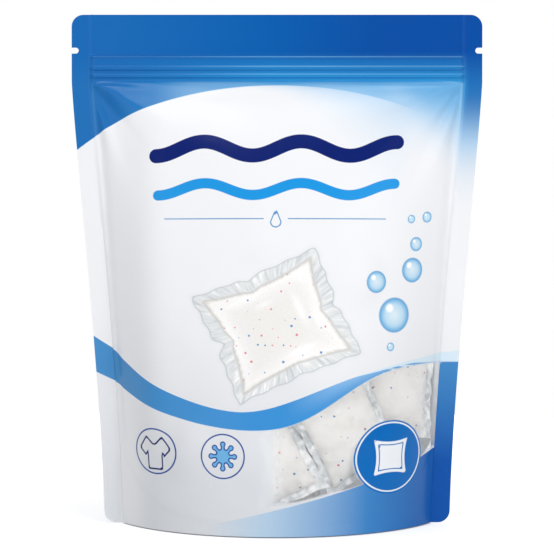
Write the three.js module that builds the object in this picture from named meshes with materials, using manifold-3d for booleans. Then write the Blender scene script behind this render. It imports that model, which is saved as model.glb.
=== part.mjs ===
// Stand-up laundry powder pouch: two film panels sealed along both sides and the top, a gusset that opens into
// an oval foot, a press-to-close zip pressed together under the top seal, and a heap of powder pods inside.
// Millimetres, +Z up, origin on the table under the middle of the pouch, the front facing -Y.

import * as THREE from "three";
import Module from "manifold-3d";

// Film panels, measured flat
const POUCH_WIDTH = 210;
const POUCH_HEIGHT = 260;
const FILM = 0.2;
const SIDE_SEAL = 9.5;
const CORNER_RADIUS = 6;

// Belly: every level section of a panel is a circular arc of the same film length, bent most at the foot
const FOOT_ANGLE_DEG = 60;
const BEND_DROP = 1.4;
const BEND_SHOULDER = 0.6;

// Dents that run down from the ends of the zip
const DENT_DEPTH = 2.2;
const DENT_DROP = 18;
const DENT_WIDTH = 12;
const DENT_INSET = 25;

// Press-to-close zip
const HEADER = 21.3;
const ZIP_HEIGHT = 12.7;
const ZIP_FLANGE = 0.35;
const ZIP_RIBS = 2;
const RIB_PITCH = 3.9;
const RIB_DROP = 1.4;
const RIB_HEAD = 0.8;
const RIB_LIP = 0.4;
const RIB_STEM = 0.9;
const RIB_BARB = 0.4;
const JAW = 0.45;
const ZIP_CLEARANCE = 0.2;
const RIB_RELIEF = 0.4;
const ZIP_EDGE_RUN = 3;

// Tear notches, just above the zip
const NOTCH_RISE = 3;
const NOTCH_DEPTH = 3.6;
const NOTCH_HEIGHT = 3;

// Foot gusset
const GUSSET_HEIGHT = 42;
const GUSSET_WELD = 6;
const GUSSET_FLAT = 96;

// Powder pods
const POD_COUNT = 30;
const POD_SIZE = 47;
const POD_FLANGE = 4.5;
const POD_THICKNESS = 17;
const POD_WELD = 0.4;
const POD_PULL = 1.6;
const POD_GAP = 0.5;

const COLORS = {
  film: 0xe6ebf2,
  gusset: 0x1b66b5,
  zip: 0xbcd7ee,
  pod: 0xf4f1e6,
};

const manifold = await Module();
manifold.setup();

const freeFilm = POUCH_WIDTH - 2 * SIDE_SEAL;
const footBend = THREE.MathUtils.degToRad(FOOT_ANGLE_DEG);
const cornerRadius = Math.min(CORNER_RADIUS, 0.9 * SIDE_SEAL);
const zipTop = POUCH_HEIGHT - HEADER;
const zipBottom = zipTop - ZIP_HEIGHT;
const zipGap = RIB_HEAD + RIB_LIP + 3 * ZIP_CLEARANCE;
const zipHalf = zipGap / 2 + ZIP_FLANGE;
const ribLevels = Array.from(
  { length: ZIP_RIBS },
  (_, i) => (zipTop + zipBottom) / 2 - RIB_DROP + ((ZIP_RIBS - 1) / 2 - i) * RIB_PITCH,
);
const jawInner = RIB_STEM / 2 + RIB_BARB + ZIP_CLEARANCE;
const jawOuter = jawInner + JAW;

const clamp = THREE.MathUtils.clamp;
const lerp = THREE.MathUtils.lerp;
const spread = (from, to, steps) => Array.from({ length: steps + 1 }, (_, i) => lerp(from, to, i / steps));

// Facet columns of a panel, as shares of its free film
const FILM_FACETS = 12;
const filmEdge = 1 - (2 * ZIP_EDGE_RUN) / freeFilm;
const filmColumns = spread(-filmEdge, filmEdge, FILM_FACETS);

// A closed solid between two grids of points with the same rows and columns. Seen from outside the skin, rows
// run up and columns run right.
function closedSheet(skin, lining) {
  const rows = skin.length;
  const columns = skin[0].length;
  const at = (side, row, column) => (side * rows + row) * columns + column;
  const index = [];
  const quad = (a, b, c, d) => index.push(a, b, c, a, c, d);
  for (let r = 0; r < rows - 1; r++) {
    for (let c = 0; c < columns - 1; c++) {
      quad(at(0, r, c), at(0, r, c + 1), at(0, r + 1, c + 1), at(0, r + 1, c));
      quad(at(1, r, c), at(1, r + 1, c), at(1, r + 1, c + 1), at(1, r, c + 1));
    }
  }
  const top = rows - 1;
  const right = columns - 1;
  for (let c = 0; c < right; c++) {
    quad(at(0, 0, c), at(1, 0, c), at(1, 0, c + 1), at(0, 0, c + 1));
    quad(at(0, top, c), at(0, top, c + 1), at(1, top, c + 1), at(1, top, c));
  }
  for (let r = 0; r < top; r++) {
    quad(at(0, r, 0), at(0, r + 1, 0), at(1, r + 1, 0), at(1, r, 0));
    quad(at(0, r, right), at(1, r, right), at(1, r + 1, right), at(0, r + 1, right));
  }
  const geometry = new THREE.BufferGeometry();
  const points = [...skin.flat(), ...lining.flat()].flat();
  geometry.setAttribute("position", new THREE.Float32BufferAttribute(points, 3));
  geometry.setIndex(index);
  return geometry;
}

function toSolid(geometry) {
  const source = geometry.index ? geometry : indexed(geometry);
  return new manifold.Manifold(
    new manifold.Mesh({
      numProp: 3,
      vertProperties: new Float32Array(source.attributes.position.array),
      triVerts: new Uint32Array(source.index.array),
    }),
  );
}

// Joins the repeated points of an unindexed geometry, by their rounded coordinates.
function indexed(geometry) {
  const position = geometry.attributes.position;
  const seen = new Map();
  const points = [];
  const index = [];
  for (let i = 0; i < position.count; i++) {
    const point = [position.getX(i), position.getY(i), position.getZ(i)];
    const key = point.map((value) => Math.round(value * 1e4)).join();
    if (!seen.has(key)) {
      seen.set(key, points.length / 3);
      points.push(...point);
    }
    index.push(seen.get(key));
  }
  const joined = new THREE.BufferGeometry();
  joined.setAttribute("position", new THREE.Float32BufferAttribute(points, 3));
  joined.setIndex(index);
  return joined;
}

function toGeometry(solid) {
  const mesh = solid.getMesh();
  const geometry = new THREE.BufferGeometry();
  geometry.setAttribute("position", new THREE.Float32BufferAttribute(mesh.vertProperties, 3));
  geometry.setIndex(new THREE.Uint32BufferAttribute(mesh.triVerts, 1));
  return geometry;
}

// Half-angle and radius of the arc that the free film makes at height z
function arcAt(z) {
  const height = clamp(z / zipBottom, 0, 1);
  const bend = Math.max(footBend * (1 - height ** BEND_DROP) ** BEND_SHOULDER, 1e-6);
  return { bend, radius: freeFilm / 2 / bend };
}

// How far the closed zip holds a panel off the middle plane at height z
function zipLift(z) {
  if (z >= zipTop + jawOuter) {
    return 0;
  }
  if (z > zipTop) {
    return zipHalf * (1 - (z - zipTop) / jawOuter);
  }
  const overRib = ribLevels.some((level) => Math.abs(z - level) < 0.8 * jawOuter);
  return zipHalf + (overRib ? RIB_RELIEF : 0);
}

function shoulderDent(across, z) {
  const drop = (zipBottom - z) / DENT_DROP;
  if (drop <= 0) {
    return 0;
  }
  const side = ((1 - Math.abs(across)) * (freeFilm / 2) - DENT_INSET) / DENT_WIDTH;
  return DENT_DEPTH * drop * Math.exp(1 - drop - side * side);
}

// Inner and outer point of the front film; across runs from -1 to 1 over the free film, beyond is a side seal
function panelPoint(across, seal, z) {
  const { bend, radius } = arcAt(z);
  const angle = across * bend;
  const side = Math.sign(across);
  const cornerDrop = Math.max(cornerRadius - Math.min(z, POUCH_HEIGHT - z), 0);
  const inset = cornerRadius - Math.sqrt(cornerRadius ** 2 - cornerDrop ** 2);
  if (Math.abs(across) === 1) {
    const x = radius * Math.sin(angle) + side * seal * (SIDE_SEAL - inset);
    return { outer: [x, -FILM, z], inner: [x, 0, z] };
  }
  const belly = radius * (Math.cos(angle) - Math.cos(bend)) - shoulderDent(across, z);
  const x = radius * Math.sin(angle);
  const y = -(FILM + belly + zipLift(z));
  return {
    outer: [x, y, z],
    inner: [x - FILM * Math.sin(angle), y + FILM * Math.cos(angle), z],
  };
}

function panelGeometry() {
  const columns = [
    [-1, 1],
    [-1, 0],
    ...filmColumns.map((across) => [across, 0]),
    [1, 0],
    [1, 1],
  ];
  const corner = spread(0, Math.PI / 2, 3).map((angle) => cornerRadius * (1 - Math.cos(angle)));
  const belly = spread(0, 1, 12).map((share) => lerp(cornerRadius, zipBottom, 1 - (1 - share) ** 1.5));
  const ridgeShares = [0.85, 0.5, -0.5, -0.85];
  const ridges = ribLevels.flatMap((level) => ridgeShares.map((share) => level + share * jawOuter));
  const levels = [
    ...corner.slice(0, -1),
    ...belly,
    ...ridges.reverse(),
    zipTop,
    zipTop + jawOuter,
    ...corner.map((drop) => POUCH_HEIGHT - drop).reverse(),
  ];
  const grid = levels.map((z) => columns.map(([across, seal]) => panelPoint(across, seal, z)));
  const sheet = closedSheet(
    grid.map((row) => row.map((point) => point.outer)),
    grid.map((row) => row.map((point) => point.inner)),
  );
  let solid = toSolid(sheet);
  for (const side of [-1, 1]) {
    solid = solid.subtract(toSolid(notchGeometry(side)));
  }
  return toGeometry(solid);
}

// Cutter for a tear notch: a slot with a round end, reaching in from the side edge
function notchGeometry(side) {
  const half = NOTCH_HEIGHT / 2;
  const shape = new THREE.Shape();
  shape.moveTo(-half, -half);
  shape.lineTo(NOTCH_DEPTH - half, -half);
  shape.absarc(NOTCH_DEPTH - half, 0, half, -Math.PI / 2, Math.PI / 2, false);
  shape.lineTo(-half, half);
  const depth = 2 * NOTCH_DEPTH;
  const geometry = new THREE.ExtrudeGeometry(shape, { depth, bevelEnabled: false, curveSegments: 5 });
  geometry.translate(0, 0, -NOTCH_DEPTH);
  geometry.rotateX(Math.PI / 2);
  if (side > 0) {
    geometry.rotateZ(Math.PI);
  }
  geometry.translate((side * POUCH_WIDTH) / 2, 0, zipTop + NOTCH_RISE);
  return geometry;
}

// A zip track is one outline across the pouch, drawn along its length
function trackGeometry(face, outline) {
  const shape = new THREE.Shape();
  shape.moveTo(face * zipHalf, zipBottom);
  shape.lineTo(face * zipHalf, zipTop);
  shape.lineTo((face * zipGap) / 2, zipTop);
  for (const level of ribLevels) {
    for (const [reach, height] of outline) {
      shape.lineTo(face * (zipGap / 2 - reach), level + height);
    }
  }
  shape.lineTo((face * zipGap) / 2, zipBottom);
  const length = freeFilm - 2 * ZIP_EDGE_RUN - 4 * zipHalf;
  const geometry = new THREE.ExtrudeGeometry(shape, { depth: length, bevelEnabled: false });
  geometry.translate(0, 0, -length / 2);
  const axes = new THREE.Matrix4().makeBasis(
    new THREE.Vector3(0, 1, 0),
    new THREE.Vector3(0, 0, 1),
    new THREE.Vector3(1, 0, 0),
  );
  return geometry.applyMatrix4(axes);
}

// Jaws of the front track, as reach from its flange and height above the rib's level
function jawOutline() {
  const tip = zipGap - ZIP_CLEARANCE;
  const lip = RIB_STEM / 2 + ZIP_CLEARANCE;
  const upper = [
    [0, jawOuter],
    [tip, jawOuter],
    [tip, lip],
    [tip - RIB_LIP, lip],
    [tip - RIB_LIP, jawInner],
    [0, jawInner],
  ];
  return [...upper, ...upper.map(([reach, height]) => [reach, -height]).reverse()];
}

// Barbed rib of the back track
function barbOutline() {
  const tip = zipGap - ZIP_CLEARANCE;
  const upper = [
    [0, RIB_STEM / 2],
    [tip - RIB_HEAD, RIB_STEM / 2],
    [tip - RIB_HEAD, RIB_STEM / 2 + RIB_BARB],
    [tip, RIB_STEM / 3],
  ];
  return [...upper, ...upper.map(([reach, height]) => [reach, -height]).reverse()];
}

// Distance from the middle plane to the inner face of a panel at (x, z), measured on the panel's own facets and
// 0 beyond the side seals
function roomAt(x, z) {
  const { bend, radius } = arcAt(z);
  const inside = radius - FILM;
  const crease = radius * Math.sin(bend);
  const chord = radius * Math.cos(bend) - FILM - zipHalf;
  const depth = (across) => inside * Math.cos(across * bend) - chord - shoulderDent(across, z);
  const edge = inside * Math.sin(filmEdge * bend);
  if (Math.abs(x) >= edge) {
    return depth(filmEdge) * clamp((crease - Math.abs(x)) / (crease - edge), 0, 1);
  }
  const across = Math.asin(x / inside) / bend;
  const next = clamp(filmColumns.findIndex((column) => column >= across), 1, FILM_FACETS);
  const [a, b] = [filmColumns[next - 1], filmColumns[next]];
  const [from, to] = [inside * Math.sin(a * bend), inside * Math.sin(b * bend)];
  return lerp(depth(a), depth(b), (x - from) / (to - from));
}

// x of the inner face at height z, for a share of the free film; beside a side seal the film is straight
function filmAt(across, z) {
  const { bend, radius } = arcAt(z);
  const column = (share) => (radius - FILM) * Math.sin(share * bend);
  const beside = (Math.abs(across) - filmEdge) / (1 - filmEdge);
  const edge = lerp(column(filmEdge), radius * Math.sin(bend), Math.max(beside, 0));
  return beside > 0 ? Math.sign(across) * edge : column(across);
}

// The gusset is flat on the table in the middle. Its rim, where it is sealed to the panels, climbs towards the
// side seals, its fold climbs to the same height at both ends, and its skirts hang from the rim to the table.
const gussetEdge = filmAt(filmEdge, GUSSET_HEIGHT);
const gussetTip = (1 + filmEdge) / 2;

function gussetSection(x) {
  const out = clamp(Math.abs(x) / gussetEdge, 0, 1);
  const climb = clamp((Math.abs(x) - GUSSET_FLAT / 2) / (gussetEdge - GUSSET_FLAT / 2), 0, 1);
  const fold = GUSSET_HEIGHT * climb ** 1.5;
  const rim = Math.max(lerp(GUSSET_WELD, GUSSET_HEIGHT, out ** 4), fold);
  return { x, fold, rim, reach: roomAt(x, rim) - POD_GAP };
}

// Section where a column of the panel's facets crosses the gusset's rim
function rimSection(across) {
  let x = filmAt(across, 0);
  for (let pass = 0; pass < 20; pass++) {
    x = filmAt(across, gussetSection(x).rim);
  }
  return { across, ...gussetSection(x) };
}

const gussetSections = [-gussetTip, ...filmColumns, gussetTip].map(rimSection);
const rimShares = [0, 0.35, 0.7, 0.85, 1];
const rimClimbs = [0, 0, 0, 0.3, 1];

function rimClimb(share) {
  const i = clamp(rimShares.findIndex((limit) => limit >= share), 1, rimShares.length - 1);
  const part = clamp((share - rimShares[i - 1]) / (rimShares[i] - rimShares[i - 1]), 0, 1);
  return lerp(rimClimbs[i - 1], rimClimbs[i], part);
}

function gussetHeight(x, y) {
  const last = gussetSections.length - 1;
  const next = gussetSections.findIndex((section) => section.x >= x);
  const i = next < 0 ? last : Math.max(next, 1);
  const [a, b] = [gussetSections[i - 1], gussetSections[i]];
  const part = clamp((x - a.x) / (b.x - a.x), 0, 1);
  const climb = rimClimb(Math.min(Math.abs(y) / lerp(a.reach, b.reach, part), 1));
  return lerp(lerp(a.fold, a.rim, climb), lerp(b.fold, b.rim, climb), part);
}

// Rows run from the hem of the front skirt over the rim and the floor to the hem of the back skirt.
function gussetGeometry() {
  const floor = [...rimShares.slice(1, -1).map((share) => -share).reverse(), ...rimShares.slice(0, -1)];
  const skirt = (face, share, lining) =>
    gussetSections.map(({ across, rim }) => {
      const z = share * rim;
      const x = filmAt(across, z);
      return [x, face * (roomAt(x, z) - POD_GAP - lining), z + (share === 1 ? FILM - lining : 0)];
    });
  const flat = (share, lining) =>
    gussetSections.map(({ x, fold, rim, reach }) => [
      x,
      share * reach,
      lerp(fold, rim, rimClimb(Math.abs(share))) + FILM - lining,
    ]);
  const rows = (lining) => [
    ...[0, 0.5, 1].map((share) => skirt(-1, share, lining)),
    ...floor.map((share) => flat(share, lining)),
    ...[1, 0.5, 0].map((share) => skirt(1, share, lining)),
  ];
  return closedSheet(rows(0), rows(FILM));
}

// A pod is a square pillow of powder inside a welded flange. Its facets lie between these lines, as shares of
// its half size, and it rises from flange to middle by these shares of its thickness.
const podHalf = POD_SIZE / 2;
const bodyShare = 1 - POD_FLANGE / podHalf;
const podPull = POD_PULL / podHalf;
const podLines = [-1, -bodyShare, -0.55 * bodyShare, 0, 0.55 * bodyShare, bodyShare, 1];
const podRises = podLines.map((line) => clamp(1 - (line / bodyShare) ** 2, 0, 1) ** 0.6);

function podRise(share) {
  const next = clamp(podLines.findIndex((line) => line >= share), 1, podLines.length - 1);
  const part = (share - podLines[next - 1]) / (podLines[next] - podLines[next - 1]);
  return lerp(podRises[next - 1], podRises[next], part);
}

const podSwell = (u, v) => POD_WELD / 2 + ((POD_THICKNESS - POD_WELD) / 2) * podRise(u) * podRise(v);

// Half thickness of a pod at (x, z) on its middle plane, or -1 outside its outline
function podSwellAt(x, z) {
  let u = x / podHalf;
  let v = z / podHalf;
  for (let i = 0; i < 4; i++) {
    const pulled = 1 - podPull * (1 - Math.min(v * v, 1));
    u = x / podHalf / pulled;
    v = z / podHalf / (1 - podPull * (1 - Math.min(u * u, 1)));
  }
  return Math.max(Math.abs(u), Math.abs(v)) > 1 ? -1 : podSwell(u, v);
}

// One face of a pod as a grid of points over the given lines, -1 for its front and 1 for its back
const podFace = (lines, face) =>
  lines.map((v) =>
    lines.map((u) => [
      podHalf * u * (1 - podPull * (1 - v * v)),
      face * podSwell(u, v),
      podHalf * v * (1 - podPull * (1 - u * u)),
    ]),
  );
const podShape = closedSheet(podFace(podLines, -1), podFace(podLines, 1));
const podSurface = [-1, 1].flatMap((face) => podFace(spread(-1, 1, 16), face).flat());

const podTurn = (pose) => new THREE.Euler(pose.lean, pose.roll, pose.yaw, "ZXY");

function podPoints(pose) {
  const turn = podTurn(pose);
  return podSurface.map((point) => new THREE.Vector3(...point).applyEuler(turn).add(pose.place));
}

// Whether no point of one pod lies in another, or closer to its faces than the gap
function apart(pose, other) {
  const back = new THREE.Quaternion().setFromEuler(podTurn(other)).invert();
  return podPoints(pose).every((point) => {
    const { x, y, z } = point.sub(other.place).applyQuaternion(back);
    return Math.abs(y) > podSwellAt(x, z) + POD_GAP;
  });
}

// Lifts a pod clear of the gusset, then moves it out until it all but touches the front panel.
function seatInFront(pose) {
  for (let pass = 0; pass < 4; pass++) {
    const sunk = Math.max(...podPoints(pose).map((p) => gussetHeight(p.x, p.y) + FILM + POD_GAP - p.z));
    pose.place.z += pose.onFloor ? sunk : Math.max(sunk, 0);
    const room = Math.min(...podPoints(pose).map((p) => roomAt(p.x, p.z) - POD_GAP + p.y));
    pose.place.y -= room;
  }
  return pose;
}

function insidePanels(pose) {
  return podPoints(pose).every((p) => roomAt(p.x, p.z) > Math.abs(p.y) + POD_GAP / 2);
}

// Pods at the front: how many pod sizes each lies along the panel from its middle, how far up the panel, as a
// share of its height, and how far it is rolled, in degrees. Those in the lowest course stand on the gusset.
const frontPlaces = [
  { along: 0.84, up: 0.185, roll: -27 },
  { along: -0.14, up: 0.11, roll: -27, onFloor: true },
  { along: 1.46, up: 0.265, roll: 6 },
  { along: -0.95, up: 0.163, roll: 22 },
  { along: 0.12, up: 0.316, roll: 16 },
  { along: -1.12, up: 0.37, roll: -10 },
  { along: 0.9, up: 0.488, roll: -14 },
  { along: -0.2, up: 0.55, roll: 9 },
];

// Seats the front pods one after another. A pod turns with the panel, less where the pouch is too thin for it,
// and moves back until it is clear of the pods before it. It is left out where it finds no room at all.
function frontPods(level) {
  const pods = [];
  for (const { along, up, roll, onFloor } of frontPlaces) {
    const z = up * POUCH_HEIGHT;
    const { bend, radius } = arcAt(z);
    const turn = (along * POD_SIZE) / radius;
    const middle = radius - FILM - POD_GAP - POD_THICKNESS / 2;
    const place = new THREE.Vector3();
    place.set(middle * Math.sin(turn), radius * Math.cos(bend) - middle * Math.cos(turn), z);
    const lean = Math.atan((roomAt(0, z + podHalf) - roomAt(0, z - podHalf)) / POD_SIZE);
    for (const share of [1, 0.75, 0.5, 0.25]) {
      const yaw = share * turn;
      const pod = { place: place.clone(), yaw, lean, roll: THREE.MathUtils.degToRad(roll), onFloor };
      seatInFront(pod);
      const touches = (other) => !apart(pod, other) || !apart(other, pod);
      while (pod.place.y < 0 && pods.some(touches)) {
        pod.place.y += POD_GAP / 5;
      }
      if (insidePanels(pod) && !pods.some(touches) && pod.place.z + podHalf < level) {
        pods.push(pod);
        break;
      }
    }
  }
  return pods;
}

// Least distance between the middle planes of two parallel pods whose centres differ by (x, z)
const pitches = new Map();

function stackPitch(x, z) {
  if (Math.max(Math.abs(x), Math.abs(z)) >= POD_SIZE) {
    return -Infinity;
  }
  const key = `${Math.abs(x).toFixed(1)} ${Math.abs(z).toFixed(1)}`;
  if (!pitches.has(key)) {
    const sums = podFace(spread(-1, 1, 16), 1)
      .flat()
      .map(([u, swell, v]) => ({ swell, other: podSwellAt(u - Math.abs(x), v - Math.abs(z)) }))
      .filter(({ other }) => other > 0)
      .map(({ swell, other }) => swell + other);
    pitches.set(key, Math.max(...sums) + POD_GAP);
  }
  return pitches.get(key);
}

// Pods behind the front ones stand upright in layers from the back panel forward, the first layer one pod wide.
// Every other layer is shifted by half a pod, so that the bulges nest. A pod that finds no room is left out.
function backPods(front, level) {
  const cell = POD_SIZE + POD_GAP;
  const frontPoints = front.flatMap(podPoints);
  const pods = [];
  for (let layer = 0; layer < 7; layer++) {
    const shift = (layer % 2) / 2;
    const columns = shift ? [-0.5, 0.5] : [0, -1, 1];
    for (const column of layer === 0 ? [0] : columns) {
      const x = column * cell;
      let z = FILM + POD_GAP + podHalf + shift * cell;
      while (z + podHalf < level) {
        const pose = { place: new THREE.Vector3(x, 0, z), yaw: 0, lean: 0, roll: 0 };
        for (let pass = 0; pass < 4; pass++) {
          pose.place.y = 0;
          const panel = Math.min(...podPoints(pose).map((p) => roomAt(p.x, p.z) - POD_GAP - p.y));
          const { z: height } = pose.place;
          const others = pods.map(({ place }) => place.y - stackPitch(x - place.x, height - place.z));
          pose.place.y = Math.min(panel, ...others);
          const sunk = Math.max(...podPoints(pose).map((p) => gussetHeight(p.x, p.y) + FILM + POD_GAP - p.z));
          pose.place.z += Math.max(sunk, 0);
        }
        const clearFront = frontPoints.every((p) => {
          const swell = podSwellAt(p.x - x, p.z - pose.place.z);
          return swell < 0 || p.y + 3 * POD_GAP + swell < pose.place.y;
        });
        if (insidePanels(pose) && clearFront) {
          pods.push(pose);
          z = pose.place.z + cell;
        } else {
          z += cell / 4;
        }
      }
    }
  }
  return pods;
}

// The heap is as high as it has to be for the pods of the pack. Later pods lean on earlier ones, so that any
// over the number are the last.
function podHeap() {
  let heap = [];
  for (let level = 3 * POD_SIZE; level < zipBottom && heap.length < POD_COUNT; level += POD_SIZE / 4) {
    const front = frontPods(level);
    heap = [...front, ...backPods(front, level)];
  }
  return heap.slice(0, POD_COUNT);
}

const pouch = new THREE.Group();

function addPiece(name, geometry, color) {
  const mesh = new THREE.Mesh(geometry, new THREE.MeshStandardMaterial({ color, roughness: 0.35 }));
  mesh.name = name;
  pouch.add(mesh);
  return mesh;
}

addPiece("front_panel", panelGeometry(), COLORS.film);
addPiece("back_panel", panelGeometry(), COLORS.film).rotation.z = Math.PI;
addPiece("bottom_gusset", gussetGeometry(), COLORS.gusset);
addPiece("zip_front_track", trackGeometry(-1, jawOutline()), COLORS.zip);
addPiece("zip_back_track", trackGeometry(1, barbOutline()), COLORS.zip);

podHeap().forEach((pose, i) => {
  const pod = addPiece(`pod_${String(i + 1).padStart(2, "0")}`, podShape, COLORS.pod);
  pod.position.copy(pose.place);
  pod.rotation.copy(podTurn(pose));
});

export default pouch;
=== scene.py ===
"""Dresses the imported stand-up pouch of laundry powder pods.

The shape functions work in millimetres, as a pouch maker's drawing does, and the meshes are in
metres. The front film faces -Y, the pouch stands on z = 0 and x runs across the front.
"""

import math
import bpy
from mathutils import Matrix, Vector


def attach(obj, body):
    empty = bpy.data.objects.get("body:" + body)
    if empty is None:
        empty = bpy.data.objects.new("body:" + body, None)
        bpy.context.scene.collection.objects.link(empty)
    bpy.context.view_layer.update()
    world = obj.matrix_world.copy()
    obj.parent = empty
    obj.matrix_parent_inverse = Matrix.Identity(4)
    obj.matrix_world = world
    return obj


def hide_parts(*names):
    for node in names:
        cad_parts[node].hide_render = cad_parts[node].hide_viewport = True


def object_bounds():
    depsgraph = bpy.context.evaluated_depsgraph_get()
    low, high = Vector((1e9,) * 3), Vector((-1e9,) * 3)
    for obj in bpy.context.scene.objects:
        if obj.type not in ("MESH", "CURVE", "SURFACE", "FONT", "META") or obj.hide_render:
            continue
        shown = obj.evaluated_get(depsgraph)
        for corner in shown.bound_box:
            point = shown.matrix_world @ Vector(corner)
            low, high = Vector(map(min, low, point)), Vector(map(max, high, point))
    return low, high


bl_info = {
    "name": "Laundry powder pouch",
    "version": (1, 0, 0),
    "blender": (4, 5, 0),
    "location": "View3D > Sidebar > Pouch",
    "description": "Film, gusset, zip, pods and stage of a stand-up pouch",
    "category": "Object",
}

from types import SimpleNamespace

import bpy
import numpy as np

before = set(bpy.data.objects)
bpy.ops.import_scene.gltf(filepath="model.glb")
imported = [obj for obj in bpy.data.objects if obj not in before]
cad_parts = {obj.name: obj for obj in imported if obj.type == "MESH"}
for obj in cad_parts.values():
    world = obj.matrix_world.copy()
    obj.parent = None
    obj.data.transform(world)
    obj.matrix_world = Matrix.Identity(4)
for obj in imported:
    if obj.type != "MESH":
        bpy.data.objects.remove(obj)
CAD_BOX = [list(corner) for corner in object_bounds()]
CAD_SIZE = [high - low for low, high in zip(*CAD_BOX)]
MM = 0.001
OFF_THE_FILM = -99.0
SHARP_ANGLE = math.radians(50.0)
FULL_FRAME = 36.0


def srgb(colour):
    """Turns an sRGB hex colour such as #1b66b5 into a linear one with full cover."""
    shares = [int(colour[place:place + 2], 16) / 255.0 for place in (1, 3, 5)]
    linear = [c / 12.92 if c <= 0.04045 else ((c + 0.055) / 1.055) ** 2.4 for c in shares]
    return (*linear, 1.0)


def number_property(name, description, default, **more):
    """A number that a user may change."""
    return bpy.props.FloatProperty(name=name, description=description, default=default, **more)


def length_property(name, description, millimetres):
    """A length that a user may change, given in millimetres and kept in metres."""
    return number_property(name, description, millimetres * MM, min=0.0, unit="LENGTH")


def colour_property(name, description, colour):
    """A colour that a user may change, given as sRGB hex."""
    return bpy.props.FloatVectorProperty(
        name=name, description=description, default=srgb(colour), size=4,
        min=0.0, max=1.0, subtype="COLOR")


class PouchFilm(bpy.types.PropertyGroup):
    """Sizes of the film, its seals, its zip and its gusset"""

    width: length_property("Width", "Flat width from edge to edge", CAD_SIZE[0] / MM)
    height: length_property("Height", "Height from the floor to the top edge", CAD_SIZE[2] / MM)
    film: length_property("Film", "Thickness of the laminate", 0.2)
    side_seal: length_property("Side seal", "Width of the welded band down each side", 9.5)
    corner: length_property("Corner", "Radius of the four rounded corners", 6.0)
    header: length_property("Header", "Height of the film above the zip", 21.3)
    zip_height: length_property("Zip", "Height of the zip's flange", 12.7)
    zip_half: length_property("Zip half", "How far the closed zip lifts each film", 1.25)
    rib_drop: length_property("Rib drop", "How far the ribs lie below the flange's middle", 1.4)
    rib_pitch: length_property("Rib pitch", "Distance between the two ribs of the zip", 3.9)
    notch_depth: length_property("Notch", "Depth of the tear notch in each side", 3.6)
    notch_height: length_property("Notch height", "Height of the tear notch", 3.0)
    notch_rise: length_property("Notch rise", "How far the notch lies above the zip", 3.0)
    gusset_height: length_property("Gusset", "Height of the gusset at the sides", 42.0)
    gusset_weld: length_property("Gusset weld", "Height of the weld at the middle", 6.0)
    gusset_flat: length_property("Gusset flat", "Length of the floor that lies flat", 96.0)
    foot_angle: number_property(
        "Foot angle", "Angle at which the film leaves the side seal at the floor",
        math.radians(60.0), subtype="ANGLE")


class PouchPrint(bpy.types.PropertyGroup):
    """Colours of the film's print"""

    body: colour_property("Body", "White of the film", "#f1f2f5")
    lining: colour_property("Lining", "White inside of the film", "#e9ebee")
    top_left: colour_property("Top left", "Blue of the header at the left", "#1569b6")
    top_middle: colour_property("Top middle", "Blue of the header at the middle", "#005eaf")
    top_right: colour_property("Top right", "Blue of the header at the right", "#004da3")
    shoulder_left: colour_property("Shoulder left", "Blue under the zip at the left", "#1f70b8")
    shoulder_right: colour_property("Shoulder right", "Blue under the zip at the right", "#309ad8")
    shoulder_pale: colour_property("Shoulder pale", "Blue where the top field thins out", "#30b0e8")
    # Painted highlight: the pale blue of the zip's ridge lines and of the seals' inner edges.
    zip_highlight_blue: colour_property("Worn", "Blue where the zip has rubbed the ink thin", "#84cbf6")
    ribbon_left: colour_property("Ribbon left", "Blue of the ribbon at the left", "#4a90cb")
    ribbon_middle: colour_property("Ribbon middle", "Blue of the ribbon at the middle", "#3d93d8")
    ribbon_right: colour_property("Ribbon right", "Blue of the ribbon at the right", "#8fc0ea")
    ribbon_tail: colour_property("Ribbon tail", "Pale blue of the ribbon's tail", "#d9eaf6")
    foot_grey: colour_property("Foot grey", "Grey that the white fades to at the foot", "#dbdee3")
    foot_pale: colour_property("Foot pale", "Blue of the foot where it begins", "#b4cfe6")
    foot_middle: colour_property("Foot middle", "Blue of the foot at the middle", "#3d86c9")
    foot_deep: colour_property("Foot deep", "Blue of the foot at the right corner", "#0054ac")
    navy: colour_property("Navy", "Ink of the outlines and the upper wave", "#07206f")
    sky: colour_property("Sky", "Ink of the lower wave", "#1a97e2")
    line: colour_property("Line", "Ink of the fine lines", "#16489c")
    badge: colour_property("Badge", "Blue of the round badge", "#006cbe")
    clear: colour_property("Clear film", "Slight haze of the window", "#f2f5f8")


class PouchPods(bpy.types.PropertyGroup):
    """Sizes and colours of the powder pods"""

    flange: length_property("Flange", "Width of the welded rim of a pod", 3.6)
    thickness: length_property("Thickness", "Thickness of a pod at its middle", 16.4)
    weld: length_property("Weld", "Thickness of the welded rim", 0.4)
    ruffle: length_property("Ruffle", "Height of the waves in the rim", 1.1)
    powder: colour_property("Powder", "White of the packed powder", "#f0eeeb")
    # Painted shade towards each pod's rim; the powder's random tone uses this colour too.
    shade: colour_property("Powder shade", "Powder in the creases of the film", "#d8d5d0")
    red: colour_property("Red speck", "Red grains in the powder", "#dc7a84")
    blue: colour_property("Blue speck", "Blue grains in the powder", "#5f88bd")
    wrap: colour_property("Wrap", "Clear film of the rim", "#eceff1")


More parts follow.
